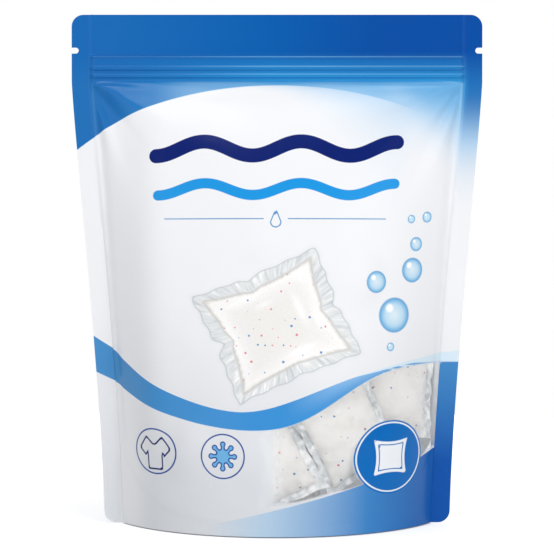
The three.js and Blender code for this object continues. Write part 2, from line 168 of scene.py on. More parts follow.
class PouchStage(bpy.types.PropertyGroup):
    """Floor, light and camera"""

    floor: colour_property("Floor", "Colour of the floor", "#d4d4d4")
    gap: length_property("Gap", "How far the floor lies under the foot's edge", 0.5)
    world: number_property("World", "Strength of the even light from all round", 0.42, min=0.0)
    room: number_property("Room", "Strength of the dim room that mirrors meet", 0.08, min=0.0)
    key: number_property("Key", "Power of the lamp at the front right", 5.8, unit="POWER")
    fill: number_property("Fill", "Power of the lamp at the front left", 3.6, unit="POWER")
    top: number_property("Top", "Power of each lamp above the pouch", 0.85, unit="POWER")
    back: number_property("Back", "Power of the lamp behind the pouch", 4.0, unit="POWER")
    aim: length_property("Aim", "Height that the lamps point at", 130.0)
    distance: length_property("Camera distance", "Way from the camera to the pouch's middle", 850.0)
    level: length_property("Camera level", "Height of the camera over the floor", 137.2)
    pitch: number_property("Camera pitch", "Angle between the camera's view and straight down",
                           math.radians(89.24), subtype="ANGLE")
    lens: number_property("Lens", "Focal length in millimetres", 107.8)


def add(tree, kind, inputs=None, **settings):
    """Adds one node with its settings, and sets or links its inputs by name or by number.

    A colour may be given as sRGB hex.
    """
    node = tree.nodes.new(kind)
    for name, value in settings.items():
        setattr(node, name, value)
    for place, value in (inputs or {}).items():
        if isinstance(value, bpy.types.NodeSocket):
            tree.links.new(value, node.inputs[place])
        else:
            node.inputs[place].default_value = srgb(value) if isinstance(value, str) else value
    return node


def attribute(tree, name):
    """A field that the mesh carries at its points."""
    return add(tree, "ShaderNodeAttribute", attribute_name=name).outputs["Fac"]


def object_place(tree):
    """The place on the piece, in metres."""
    return add(tree, "ShaderNodeTexCoord").outputs["Object"]


def axes_of(tree, place):
    """A place's three coordinates."""
    return add(tree, "ShaderNodeSeparateXYZ", {0: place}).outputs


def maths(tree, operation, *values):
    """One step of arithmetic with numbers."""
    return add(tree, "ShaderNodeMath", dict(enumerate(values)), operation=operation).outputs[0]


def less(tree, first, second):
    """The first number less the second."""
    return maths(tree, "SUBTRACT", first, second)


def times(tree, first, second):
    """The product of two numbers."""
    return maths(tree, "MULTIPLY", first, second)


def vectors(tree, operation, *values, **named):
    """One step of arithmetic with vectors; a length or a distance comes back as a number."""
    inputs = {**dict(enumerate(values)), **named}
    node = add(tree, "ShaderNodeVectorMath", inputs, operation=operation)
    return node.outputs["Value" if operation in ("LENGTH", "DISTANCE") else "Vector"]


def remap(tree, value, low, high, to_low=0.0, to_high=1.0, curve="LINEAR"):
    """Takes a value from one range to another and holds it at the ends."""
    inputs = {"Value": value, "From Min": low, "From Max": high, "To Min": to_low, "To Max": to_high}
    return add(tree, "ShaderNodeMapRange", inputs, interpolation_type=curve).outputs[0]


def mix(tree, share, under, over):
    """A share of one colour over another."""
    return add(tree, "ShaderNodeMix", {0: share, 6: under, 7: over}, data_type="RGBA").outputs[2]


def noise(tree, place, scale, detail=2.0, **more):
    """Cloudy noise over a place."""
    inputs = {"Vector": place, "Scale": scale, "Detail": detail, **more}
    return add(tree, "ShaderNodeTexNoise", inputs).outputs[0]


def bump(tree, height, strength, distance, **under):
    """The normal that a height field gives, over another normal if there is one."""
    inputs = {"Height": height, "Strength": strength, "Distance": distance, **under}
    return add(tree, "ShaderNodeBump", inputs).outputs[0]


def new_material(name):
    """An empty node material and its tree."""
    material = bpy.data.materials.new(name)
    material.use_nodes = True
    material.node_tree.nodes.clear()
    return material, material.node_tree


def surface(material, inputs):
    """Gives a material its one surface, with these inputs, and returns it."""
    shader = add(material.node_tree, "ShaderNodeBsdfPrincipled", inputs)
    add(material.node_tree, "ShaderNodeOutputMaterial", {"Surface": shader.outputs[0]})
    return material


def lay_ink(tree, under, ink, field, edge=0.2):
    """Prints ink over the colours under it where the field is above nought.

    The edge is half the width, in the field's own unit, over which the ink comes up.
    """
    return mix(tree, remap(tree, field, -edge, edge, curve="SMOOTHSTEP"), under, ink)


def colour_run(tree, place, stops):
    """A run of colours along a place from 0 to 1: stops are pairs of place and colour."""
    ramp = add(tree, "ShaderNodeValToRGB", {0: place})
    elements = ramp.color_ramp.elements
    while len(elements) < len(stops):
        elements.new(1.0)
    for element, (position, colour) in zip(elements, stops):
        element.position = position
        element.color = srgb(colour) if isinstance(colour, str) else colour
    return ramp.outputs[0]


def smooth(low, high, value):
    """Climbs from 0 at low to 1 at high with level ends: 3 t squared less 2 t cubed."""
    share = np.clip((value - low) / (high - low), 0.0, 1.0)
    return share * share * (3.0 - 2.0 * share)


def bell(value, middle, width):
    """A bell curve: the exponential of less the square of the way from its middle, in widths."""
    return np.exp(-((value - middle) / width) ** 2)


def unit(vector):
    """A vector, or a grid of them, at length one."""
    return vector / np.maximum(np.linalg.norm(vector, axis=-1, keepdims=True), 1e-9)


def film_sizes():
    """The film's sizes in millimetres, with the places that follow from them."""
    film = bpy.context.scene.pouch_film
    size = SimpleNamespace(**{name: getattr(film, name) / MM for name in PouchFilm.__annotations__})
    size.foot_angle = film.foot_angle
    size.reach = size.width / 2.0 - size.side_seal
    size.zip_top = size.height - size.header
    size.zip_bottom = size.zip_top - size.zip_height
    rib_middle = (size.zip_top + size.zip_bottom) / 2.0 - size.rib_drop
    size.ribs = (rib_middle + size.rib_pitch / 2.0, rib_middle - size.rib_pitch / 2.0)
    size.notch_level = size.zip_top + size.notch_rise
    return size


def arc_bend(size, height):
    """Half angle and radius of the film's level section at a height.

    Between the side seals the section is an arc of constant length. Its half angle is the foot
    angle at the floor and falls to nought at the zip, as one less the height's share to the power
    1.4, all to the power 0.6. So the seals draw in where the belly is deep.
    """
    share = np.clip(height / size.zip_bottom, 0.0, 1.0)
    bend = np.maximum(size.foot_angle * (1.0 - share ** 1.4) ** 0.6, 1e-6)
    return bend, size.reach / bend


def film_arc(size, along, height):
    """A level section of the film: x, depth and the angle that the film faces."""
    bend, radius = arc_bend(size, height)
    inside = np.clip(along, -size.reach, size.reach)
    angle = inside / radius
    x = radius * np.sin(angle) + (along - inside)
    depth = radius * (np.cos(angle) - np.cos(bend))
    return x, depth, np.where(np.abs(along) < size.reach, angle, 0.0)


def zip_relief(size, height):
    """How far the zip lifts the film: a shelf with a crest along its top, and a ridge over each rib.

    A ridge climbs within 0.6 mm at its upper side and falls within 0.7 mm at its lower side.
    """
    shelf = size.zip_half * smooth(size.zip_top + 0.9, size.zip_top, height)
    shelf = shelf * smooth(size.zip_bottom - 9.0, size.zip_bottom - 0.2, height)
    crest = 0.5 * bell(height, size.zip_top - 0.3, 0.6)
    ridges = sum(smooth(rib + 0.9, rib + 0.3, height) * smooth(rib - 1.7, rib - 1.0, height)
                 for rib in size.ribs)
    return shelf + crest + 0.9 * ridges


# The folds from each end of the zip: angle and width in degrees, and height in millimetres.
FOLDS = {-1.0: ((28.0, 24.0, 4.6), (62.0, 10.0, -0.5), (76.0, 9.0, 1.1)),
         1.0: ((24.0, 22.0, 3.6), (48.0, 14.0, 1.9), (57.0, 8.0, -0.3), (72.0, 9.0, 1.4))}


def shoulder_relief(size, along, height):
    """The film under the ends of the zip: a shallow hollow, and a fan of folds from the zip's end.

    The hollow is d exp(1 - d) times a bell curve along the zip, with d the drop below it. Each
    fold is a tent with a rounded ridge over the angle about the zip's end, and is highest 23 mm
    out.
    """
    inset = size.reach - np.abs(along)
    drop = np.maximum(size.zip_bottom - height, 0.0)
    fall = drop / 18.0
    relief = -0.9 * fall * np.exp(1.0 - fall) * bell(inset, 25.0, 12.0)
    radius = np.hypot(inset, drop)
    turn = np.degrees(np.arctan2(drop, inset + 1e-6))
    for side, folds in FOLDS.items():
        here = (np.sign(along) == side) * radius / 24.0 / (1.0 + (radius / 30.0) ** 4)
        for angle, width, rise in folds:
            tent = 1.08 - np.sqrt(((turn - angle) / width) ** 2 + 0.03)
            relief = relief + here * rise * smooth(-0.1, 0.35, tent) * np.maximum(tent, 0.0)
    return relief


def belly_relief(size, along, height):
    """The film down the sides and over the belly.

    A shallow gutter runs beside each seal with a swell next to it, higher at the left, and a
    buckle stands over each foot corner. Small puckers start at the seal and die away in 7 mm.
    Long low waves cross the whole film.
    """
    inset = size.reach - np.abs(along)
    swell = np.where(along < 0.0, 2.4, 0.6) * bell(inset, 31.0, 15.0)
    gutter = swell - 0.8 * bell(inset, 2.5, 3.5)
    gutter = gutter * smooth(218.0, 190.0, height) * smooth(22.0, 60.0, height)
    buckle = 0.7 * bell(inset, 8.0, 3.0) * smooth(40.0, 12.0, height)
    pucker = np.sin(height / 3.1 + 2.0 * np.sin(height / 19.0))
    pucker = 0.16 * pucker * np.exp(-inset / 7.0) * smooth(226.0, 200.0, height)
    waves = np.sin(along / 23.0 + height / 41.0) + np.sin(along / 37.0 - height / 29.0 + 1.3)
    return gutter + buckle + pucker + 0.28 * (waves + 1.0)


def seal_bead(size, along, height):
    """The rolled edge of each side seal: a bead 0.35 mm high and about 1.4 mm wide."""
    return 0.35 * bell(size.reach - np.abs(along), 0.9, 0.7) * smooth(4.0, 20.0, height)


def gusset_rim(size, share):
    """Height of the gusset's weld at a share of the way from the middle to the side."""
    return size.gusset_weld + (size.gusset_height - size.gusset_weld) * np.abs(share) ** 4


def film_surface(size, along, height, pods):
    """Outer and inner face of the front film: the arc, moved out by the relief on it.

    The relief is nought in the seals and under the gusset's weld, where the film is pressed in by
    a fifth of a millimetre. A pod that leans on the film lifts it to a low round dome, joined to
    the rest by a soft maximum.
    """
    x, depth, facing = film_arc(size, along, height)
    inset = size.reach - np.abs(along)
    away = smooth(0.0, 5.0, inset)
    lift = zip_relief(size, height) * smooth(0.0, 2.0, inset) + seal_bead(size, along, height)
    relief = shoulder_relief(size, along, height) + belly_relief(size, along, height)
    relief = relief * smooth(size.zip_bottom, size.zip_bottom - 3.0, height)
    dome_rise = 2.5
    dome_width = 18.0
    sharpness = 6.0
    for pod_along, pod_height in pods:
        distance = np.hypot(along - pod_along, height - pod_height)
        dome = dome_rise * bell(distance, 0.0, dome_width) - 1.0
        relief = np.logaddexp(sharpness * relief, sharpness * dome) / sharpness
    weld = gusset_rim(size, along / size.reach)
    pressed = -0.2 * smooth(weld + 0.8, weld - 0.8, height)
    lift = lift + (relief * smooth(weld, weld + 16.0, height) + pressed) * away
    lift = np.maximum(lift, 0.15 * smooth(0.0, 2.0, inset) - depth)
    outward = np.stack([np.sin(facing), -np.cos(facing), np.zeros_like(facing)], axis=-1)
    base = np.stack([x, -depth, height + np.zeros_like(x)], axis=-1)
    inner = base + outward * lift[..., None]
    return inner + outward * size.film, inner


def film_grid(size):
    """Places on the film: along it from its middle, and heights, as two grids.

    Rows are 1.35 mm apart and closer over the zip, the notches and the round corners. The seal's
    columns end at the film's edge, which steps in at the corners and at the notches.
    """
    corner = size.corner * (1.0 - np.cos(np.linspace(0.0, math.pi / 2.0, 9)))
    notch = size.notch_height / 2.0 * np.array([-1.01, -0.99, -0.9, -0.7, -0.4, 0.0,
                                                0.4, 0.7, 0.9, 0.99, 1.01])
    belly_rows = 160
    zip_rows = 84
    header_rows = 12
    columns = 151
    seal_columns = 8
    low = size.zip_bottom - 3.0
    high = size.zip_top + 2.0
    heights = np.concatenate([
        np.linspace(size.corner, low, belly_rows),
        np.linspace(low, high, zip_rows),
        np.linspace(high, size.height - size.corner, header_rows),
        corner, size.height - corner, size.notch_level + notch])
    heights = np.unique(np.round(heights, 3))
    heights = heights[np.concatenate([[True], np.diff(heights) > 0.02])]
    past = np.maximum(size.corner - np.minimum(heights, size.height - heights), 0.0)
    inset = size.corner - np.sqrt(np.maximum(size.corner ** 2 - past ** 2, 0.0))
    level = np.abs(heights - size.notch_level) / (size.notch_height / 2.0)
    nick = (size.notch_depth - size.notch_height / 2.0
            + size.notch_height / 2.0 * np.sqrt(np.clip(1.0 - level ** 2, 0.0, 1.0)))
    inset = inset + np.where(level < 1.0, nick, 0.0)
    share = np.linspace(-1.0, 1.0, columns)
    free = size.reach * (share + 0.18 * np.sin(math.pi * share) / math.pi)
    seal = np.linspace(0.0, 1.0, seal_columns)[1:]
    band = seal[None, :] * (size.side_seal - inset)[:, None]
    middle = np.broadcast_to(free, (len(heights), len(free)))
    along = np.concatenate([-size.reach - band[:, ::-1], middle, size.reach + band], axis=1)
    return along, np.broadcast_to(heights[:, None], along.shape)


def quads(index):
    """The four corners of each cell of a grid of point numbers, anticlockwise."""
    corners = [index[:-1, :-1], index[:-1, 1:], index[1:, 1:], index[1:, :-1]]
    return np.stack(corners, axis=-1).reshape(-1, 4)


def closed_sheet(name, skin, lining, materials, fields=None, flat=None, cells=None):
    """A thin closed piece between two grids of points in millimetres, with its rim.

    The skin faces outwards; the lining is turned round and a strip of quads joins their borders.
    Each quad and its twin start at the same corner, so both are split along the same diagonal.
    Fields become point attributes and flat becomes the UV map, both the same on the two faces.
    Cells gives each cell's material on both faces, or else the lining and rim take the second.
    """
    rows, columns = skin.shape[:2]
    count = rows * columns
    index = np.arange(count).reshape(rows, columns)
    skin_faces = quads(index)
    border = np.concatenate([index[0, :-1], index[:-1, -1], index[-1, :0:-1], index[:0:-1, 0]])
    following = np.roll(border, -1)
    rim = np.stack([following, border, border + count, following + count], axis=-1)
    faces = np.concatenate([skin_faces, skin_faces[:, [0, 3, 2, 1]] + count, rim])
    points = np.concatenate([skin.reshape(-1, 3), lining.reshape(-1, 3)]) * MM
    mesh = bpy.data.meshes.new(name)
    mesh.from_pydata(points, [], faces)
    for material in materials:
        mesh.materials.append(material)
    if cells is None:
        slots = np.concatenate([np.zeros(len(skin_faces)), np.ones(len(skin_faces) + len(rim))])
    else:
        slots = np.concatenate([cells.ravel(), cells.ravel(), np.ones(len(rim))])
    mesh.polygons.foreach_set("material_index", slots.astype(np.int32))
    if flat is not None:
        places = np.concatenate([flat.reshape(-1, 2), flat.reshape(-1, 2)])[faces.ravel()]
        mesh.uv_layers.new(name="film").data.foreach_set("uv", places.astype(np.float32).ravel())
    for field, values in (fields or {}).items():
        layer = mesh.attributes.new(field, "FLOAT", "POINT")
        both = np.concatenate([values.ravel(), values.ravel()]).astype(np.float32)
        layer.data.foreach_set("value", both)
    mesh.shade_smooth()
    mesh.set_sharp_from_angle(angle=SHARP_ANGLE)
    mesh.update()
    piece = bpy.data.objects.new(name, mesh)
    bpy.context.scene.collection.objects.link(piece)
    return piece


def ribbon_edges(along):
    """Upper and lower edge of the ribbon of blue, and the top of its pale tail, as heights.

    Each edge is a trough. To the left it climbs by a power of the way from its lowest place. To
    the right the upper edge climbs by d squared over d squared plus a constant, and the lower one
    by one less a bell curve. The ribbon thins to a line where the tail leaves it.
    """
    way = along + 18.0
    left = 34.8 * (np.abs(way) / 86.0) ** 1.69
    tail = 60.4 + np.where(way < 0.0, left, 34.3 * way ** 2 / (way ** 2 + 3512.0))
    way = along + 13.4
    left = 25.6 * (np.abs(way) / 91.0) ** 1.78
    right = 31.0 * (1.0 - np.exp(-(np.abs(way) / 52.0) ** 2.6))
    lower = 51.5 + np.where(way < 0.0, left, right)
    thin = smooth(38.0, 66.0, along)
    upper = tail + (np.minimum(tail, lower + 1.1) - tail) * thin
    return upper, lower, tail


def zip_highlight(size, along, height):
    """Share of painted highlight, a pale blue over the print: a bell curve along the zip's upper
    edges and down each seal's edge.
    """
    inset = size.reach - np.abs(along)
    lines = ((size.zip_top - 0.3, 0.6), (size.ribs[0] + 0.6, 1.0), (size.ribs[1] + 0.6, 0.8))
    # Strength of the painted highlight: faint at the left, strongest at the middle, less at the
    # right.
    most = 0.1 + 0.6 * smooth(-70.0, 0.0, along) - 0.25 * smooth(10.0, 85.0, along)
    highlight_lines = sum(share * bell(height, line, 0.32) for line, share in lines)
    highlight_lines = highlight_lines * most * smooth(-0.5, 1.0, inset)
    edge = bell(inset, 0.9, 0.6) * smooth(size.zip_bottom, size.zip_bottom - 2.0, height)
    return np.maximum(highlight_lines, edge * np.where(along > 0.0, 0.6, 0.12))


def field_prints(size, along, height):
    """The large fields of the print, each above nought where its ink lies.

    The top field lies over an arch of second and fourth powers. Towards the right its edge gives
    way to a slow fall, the exponential of less a power of the drop under the zip, and slower in the
    seal; this fall is partly print and partly painted light, for the lit folds under the zip's right
    end. Just under the zip the blue pales a little, as painted light where the film turns up to the
    lamps. The window lies under the ribbon and over a slanted line, and fades out at the left and
    along both ends of its lower edge. The white turns grey towards the foot.
    """
    across = along / 100.0
    upper, lower, tail = ribbon_edges(along)
    arch = 223.4 - 24.0 * across ** 2 - 5.0 * across ** 4
    seal_edge = size.reach - 0.1
    seal = smooth(93.0, 97.0, along)
    drop = size.zip_bottom - height
    reach = 2.0 + 24.0 * np.clip(along / 85.0, 0.0, 1.1) ** 1.4 + 8.0 * seal
    reach = np.maximum(reach + 0.08 * np.minimum(along, 0.0), 0.8)
    # Partly painted light: how fast the blue falls away at the right stands for the lit folds there.
    fall = (np.maximum(drop, 0.0) / reach) ** (0.95 + 1.6 * smooth(58.0, 80.0, along))
    # Painted light: the blue pales just under the zip, where the film turns up to the lamps.
    step = 1.0 - 0.12 * smooth(-0.2, 1.2, drop) * (1.0 - seal)
    window_foot = 13.2 + 25.0 * across + 2.0 * across ** 2
    window = np.minimum(lower - 0.1 - height, height - window_foot)
    foot_fade = (height - window_foot + 0.2) / (2.2 + 3.8 * smooth(14.0, -10.0, along))
    foot_fade = foot_fade + smooth(20.0, 50.0, along) - smooth(78.0, 88.0, along)
    grey = np.maximum(smooth(-90.0, -66.0, along), 0.9 * smooth(-94.0, -97.0, along))
    return {
        "zip_highlight": zip_highlight(size, along, height),
        "top_field": height - arch,
        # Cover of the top field past its edge, with its painted light under the zip.
        "top_soft": step * np.exp(-fall),
        "top_hold": (1.0 - 0.15 * smooth(-65.0, -40.0, along) - 0.35 * smooth(0.0, 30.0, along)
                     - 0.5 * smooth(48.0, 76.0, along)),
        "ribbon": np.minimum(upper - height, height - lower),
        "ribbon_light": height - lower - 0.45 * (upper - lower),
        "ribbon_tail": np.minimum(tail - height, height - lower),
        "window": np.minimum(window, seal_edge - along),
        "window_fade": np.minimum((along + 12.0) / 17.0, foot_fade),
        "foot_grey": smooth(120.0, 0.0, height) * grey,
        "foot_field": window_foot - height,
        "seal_field": np.minimum(along - seal_edge, lower - height),
    }


# The middles of the printed figures on the flat film: along it and up it, in millimetres.
DRAWN_POD = (0.2, 102.5)
DROP = (-0.6, 153.6)
SHIRT = (-65.4, 38.8)
SHIRT_RING = (-65.4, 39.3)
SPLASH = (-26.8, 38.7)
BADGE = (60.1, 36.9)


def ellipse_way(along, height, middle, half):
    """Way inside an ellipse, as a share of its half sizes."""
    return 1.0 - np.hypot((along - middle[0]) / half[0], (height - middle[1]) / half[1])


def turned_box(x, y, middle, half, degrees):
    """Way inside a box turned about its middle: the lesser of its two ways in."""
    cosine = math.cos(math.radians(degrees))
    sine = math.sin(math.radians(degrees))
    first = (x - middle[0]) * cosine + (y - middle[1]) * sine
    second = (y - middle[1]) * cosine - (x - middle[0]) * sine
    return np.minimum(half[0] - np.abs(first), half[1] - np.abs(second))


def pillow_way(first, second, pull):
    """Way inside a square pillow from -1 to 1 whose sides pull in by a parabola."""
    across = np.abs(first) / (1.0 - pull * np.maximum(1.0 - second ** 2, 0.0))
    up = np.abs(second) / (1.0 - pull * np.maximum(1.0 - first ** 2, 0.0))
    return 1.0 - np.maximum(across, up)


def wave_way(along, height, level, rise, reach, half):
    """Way inside a band along a sine wave: the band's half width less the way from the wave.

    Past its reach the way is measured from the wave's end, so that the end is round. Two and a
    half wavelengths put a trough at one end and a crest at the other. The slope of the sine makes
    the way across it shorter than the way up.
    """
    pace = reach / (2.5 * math.pi)
    inside = np.clip(along, -reach, reach)
    line = level + rise * np.sin(inside / pace)
    slope = rise / pace * np.cos(inside / pace) * (np.abs(along) < reach)
    across = np.abs(height - line) / np.sqrt(1.0 + slope ** 2)
    return half - np.hypot(across, along - inside)


def drawn_pod_prints(along, height):
    """The drawn pod, on two slanted axes from its middle that reach 1 at the sides of its wrap.

    The wrap's sides have a notch each, as bell curves along the side. The pillow's sides pull in
    and follow the same notches. The shine is a row of soft streaks.
    """
    x = along - DRAWN_POD[0]
    y = height - DRAWN_POD[1]
    area = 974.0
    first = (x * 26.4 + y * 12.3) / area
    second = (y * 31.0 - x * 12.6) / area
    notches = (2.6 * bell(first, -0.13, 0.10) * smooth(0.4, 0.8, second)
               + 2.4 * bell(second, -0.05, 0.10) * smooth(0.4, 0.8, first)
               + 3.0 * bell(second, 0.06, 0.10) * smooth(0.4, 0.8, -first)
               + 1.2 * bell(first, 0.05, 0.12) * smooth(0.4, 0.8, -second))
    ripple = 0.45 * np.sin(17.0 * first + 2.0) + 0.45 * np.sin(19.0 * second + 1.0)
    # Each streak has its middle and its half sizes on the two axes, and its strength.
    streaks = ((0.40, 0.13, 0.05, 0.26, 1.0), (0.17, -0.53, 0.21, 0.06, 1.0),
               (0.58, -0.14, 0.04, 0.18, 0.8), (-0.68, 0.05, 0.06, 0.40, 0.7),
               (-0.35, 0.60, 0.30, 0.06, 0.8), (-0.05, 0.42, 0.12, 0.04, 0.7),
               (0.62, 0.62, 0.10, 0.12, 0.6))
    shine = sum(strength * bell(first, u, wide) * bell(second, v, high)
                for u, v, wide, high, strength in streaks)
    return {
        "drawn_wrap": 30.0 * pillow_way(first, second, 0.05) - notches - ripple,
        "drawn_pillow": 25.0 * pillow_way(first / 0.85, second / 0.84, 0.15) - 0.8 * notches,
        "drawn_shine": np.minimum(shine, 1.0),
    }


def motif_prints(along, height):
    """The small figures of the print, as ways in millimetres inside each outline.

    Two waves with round ends and a rule with a drop lie above; a drawn pod lies at the middle; a
    shirt and a splash stand in rings; a round badge holds a pillow.
    """
    beside = along - DROP[0]
    drop_half = 2.6
    drop_rise = 6.4
    point = drop_half * np.clip((DROP[1] + drop_rise - height) / drop_rise, 0.0, 1.0)
    drop = np.where(height > DROP[1], point - np.abs(beside),
                    drop_half - np.hypot(beside, height - DROP[1]))
    scale = 1.3
    x = (along - SHIRT[0]) / scale
    y = (height - SHIRT[1]) / scale
    shirt = turned_box(x, y, (0.0, -1.2), (3.6, 5.2), 0.0)
    for side in (-1.0, 1.0):
        sleeve = turned_box(x, y, (side * 4.4, 2.4), (2.0, 3.0), side * 42.0)
        shirt = np.maximum(shirt, sleeve)
    shirt = scale * np.minimum(shirt, np.hypot(x, y - 5.0) - 1.9)
    rings = np.maximum(ellipse_way(along, height, SHIRT_RING, (13.7, 11.2)),
                       ellipse_way(along, height, SPLASH, (10.9, 10.7)))
    pillow = pillow_way((along - BADGE[0]) / 10.8, (height - BADGE[1]) / 9.0, 0.16)
    return {
        "deep_wave": wave_way(along, height, 190.5, 3.6, 61.0, 3.6),
        "light_wave": wave_way(along, height, 170.0, 3.0, 60.0, 2.6),
        "rule": height - DROP[1] - 1.6,
        "rule_ends": 25.0 - np.abs(np.abs(beside) - 31.0),
        "drop": drop,
        "shirt": shirt,
        "icon_ring": 11.0 * rings,
        "badge": 20.0 * ellipse_way(along, height, BADGE, (22.0, 18.2)),
        "badge_pillow": 9.0 * pillow,
        **drawn_pod_prints(along, height),
    }


# The middles and radii of the printed bubbles, in millimetres.
BUBBLES = ((50.4, 123.8, 5.5), (71.2, 129.6, 6.2), (61.0, 107.2, 8.7), (69.7, 155.3, 2.2),
           (79.0, 156.4, 2.8), (73.0, 142.7, 3.6), (59.0, 91.4, 2.2))


def bubble_prints(along, height):
    """Way inside the nearest bubble and the place in it, in radii from the bubble's middle."""
    middles = np.array(BUBBLES)
    x = (along[..., None] - middles[:, 0]) / middles[:, 2]
    y = (height[..., None] - middles[:, 1]) / middles[:, 2]
    way = np.hypot(x, y)
    nearest = np.argmin(way, axis=-1)[..., None]
    return {"bubble": 1.0 - way.min(axis=-1),
            "bubble_x": np.take_along_axis(x, nearest, -1)[..., 0],
            "bubble_y": np.take_along_axis(y, nearest, -1)[..., 0]}


def print_fields(size, along, height, whole):
    """All the print's fields on a film; a back film has only the large plain ones."""
    fields = field_prints(size, along, height)
    figures = {**motif_prints(along, height), **bubble_prints(along, height)}
    if not whole:
        bare = np.full(along.shape, OFF_THE_FILM)
        fields["window"] = bare
        figures = dict.fromkeys(figures, bare)
    return {**fields, **figures}


def thin_cover(tree):
    """Cover of a thin white film: whole to the eye, and three tenths to a ray towards a lamp."""
    path = add(tree, "ShaderNodeLightPath")
    return remap(tree, path.outputs["Is Shadow Ray"], 0.0, 1.0, 1.0, 0.3)


def window_share(tree):
    """How clear the film is: wholly in the window, less where it fades and not under the badge."""
    inside = remap(tree, attribute(tree, "window"), -0.2, 0.2)
    faded = remap(tree, attribute(tree, "window_fade"), 0.0, 1.0, curve="SMOOTHSTEP")
    outside = remap(tree, attribute(tree, "badge"), 0.2, -0.2)
    return times(tree, times(tree, inside, faded), outside)


def clear_cover(tree, share):
    """Cover of the film: a thin white film's where it is printed, and low where it is clear."""
    return remap(tree, share, 0.0, 1.0, thin_cover(tree), 0.03)


def outline(tree, under, ink, name, half, inset=0.0):
    """Prints a line of the given half width along a figure's outline, set in by the inset."""
    way = maths(tree, "ABSOLUTE", less(tree, attribute(tree, name), inset))
    return lay_ink(tree, under, ink, less(tree, half, way))


def flat_place(tree, middle):
    """The place on the flat film, in millimetres from a figure's middle."""
    size = film_sizes()
    place = add(tree, "ShaderNodeUVMap", uv_map="film").outputs[0]
    inputs = {"Vector": place, "Scale": (size.width, size.height, 1.0),
              "Location": (-size.width / 2.0 - middle[0], -middle[1], 0.0)}
    return add(tree, "ShaderNodeMapping", inputs).outputs[0]


def specks(tree, under, cells, dyes, low, sizes):
    """Coloured grains: a spot in each Voronoi cell, its dye and its size left to the cell's chance.

    A spot with a size under nought doesn't show.
    """
    chance = add(tree, "ShaderNodeSeparateColor", {0: cells.outputs["Color"]}).outputs
    dye = colour_run(tree, chance[0], ((0.5, dyes[0]), (0.55, dyes[1])))
    size = remap(tree, chance[1], low, 1.0, *sizes)
    return lay_ink(tree, under, dye, less(tree, size, cells.outputs["Distance"]), 0.03)


def printed_fields(tree, ink):
    """The large fields over the white: top, ribbon, foot and the right seal."""
    axes = axes_of(tree, add(tree, "ShaderNodeUVMap", uv_map="film").outputs[0])
    across, up = axes[0], axes[1]
    high_top = colour_run(tree, across, ((0.1, ink.top_left), (0.45, ink.top_middle),
                                         (0.75, ink.top_right)))
    low_top = colour_run(tree, across, ((0.1, ink.shoulder_left), (0.5, ink.shoulder_right),
                                        (0.94, ink.shoulder_right), (0.97, ink.shoulder_left)))
    top = mix(tree, remap(tree, up, 0.928, 0.86), high_top, low_top)
    arch = times(tree, attribute(tree, "top_hold"),
                 remap(tree, attribute(tree, "top_field"), -0.25, 0.25))
    bare = times(tree, less(tree, 1.0, arch), less(tree, 1.0, attribute(tree, "top_soft")))
    cover = less(tree, 1.0, bare)
    top = mix(tree, remap(tree, cover, 1.0, 0.5, 0.0, 0.8), top, ink.shoulder_pale)
    # Painted highlight: pale blue lines along the zip's ridges and down each seal's edge.
    top = mix(tree, attribute(tree, "zip_highlight"), top, ink.zip_highlight_blue)
    body = mix(tree, attribute(tree, "foot_grey"), ink.body, ink.foot_grey)
    colour = mix(tree, cover, body, top)
    foot = colour_run(tree, across, ((0.33, ink.foot_grey), (0.48, ink.foot_pale),
                                     (0.72, ink.foot_middle), (0.98, ink.foot_deep)))
    seal = colour_run(tree, up, ((0.0, ink.foot_deep), (0.12, ink.foot_deep),
                                 (0.34, ink.ribbon_left)))
    high_ribbon = colour_run(tree, across, ((0.1, ink.ribbon_left), (0.42, ink.ribbon_middle),
                                            (0.52, ink.ribbon_middle), (0.7, ink.ribbon_right)))
    low_ribbon = colour_run(tree, across, ((0.1, ink.ribbon_left), (0.42, ink.ribbon_middle),
                                           (0.6, ink.ribbon_middle), (0.85, ink.ribbon_left)))
    ribbon = lay_ink(tree, low_ribbon, high_ribbon, attribute(tree, "ribbon_light"), 5.0)
    layers = {"foot_field": foot, "ribbon_tail": ink.ribbon_tail, "ribbon": ribbon,
              "seal_field": seal}
    for name, run in layers.items():
        colour = lay_ink(tree, colour, run, attribute(tree, name))
    return colour


